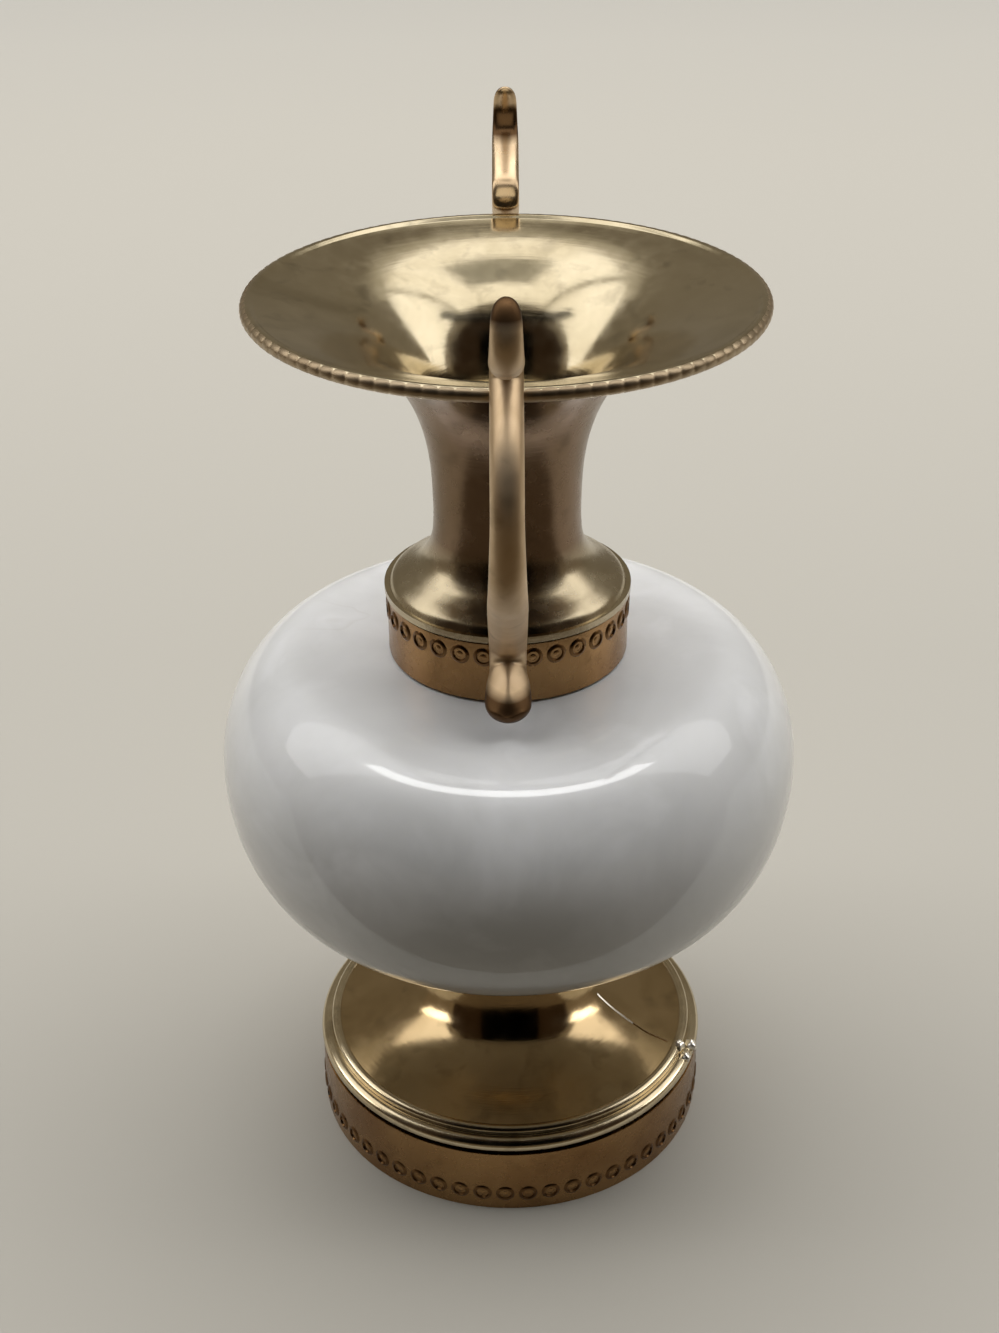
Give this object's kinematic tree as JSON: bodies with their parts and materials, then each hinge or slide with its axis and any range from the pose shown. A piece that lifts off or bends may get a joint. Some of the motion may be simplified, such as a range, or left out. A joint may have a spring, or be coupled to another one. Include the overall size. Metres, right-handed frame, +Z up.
{
  "type": "bud vase",
  "caption": "Bud vase with a round polished marble body between a spun brass foot and a flared brass neck with scroll handles, for holding a few short stems.",
  "frame": {"origin": "on the floor under the vase's middle", "axes": "+Z up along the tie rod, -Y towards the front handle, +X to the right"},
  "size_m": [0.0636, 0.0738, 0.1131],
  "materials": {
    "gilt_brass": "satin lacquered gilt brass with light wear",
    "red_brass": "satin stamped red brass, slightly tarnished",
    "white_marble": "polished white marble with soft grey clouds",
    "plated_steel": "plain plated steel"
  },
  "bodies": {
    "root": {"foot_band": "red_brass", "foot_dish": "gilt_brass", "marble_body": "white_marble", "collar_band": "red_brass", "neck_floor": "gilt_brass", "neck_trumpet": "gilt_brass", "handle_front": "gilt_brass", "handle_back": "gilt_brass", "tie_rod": "plated_steel", "foot_washer": "plated_steel", "foot_nut": "plated_steel", "neck_washer": "plated_steel", "neck_nut": "plated_steel"}
  },
  "joints": []
}
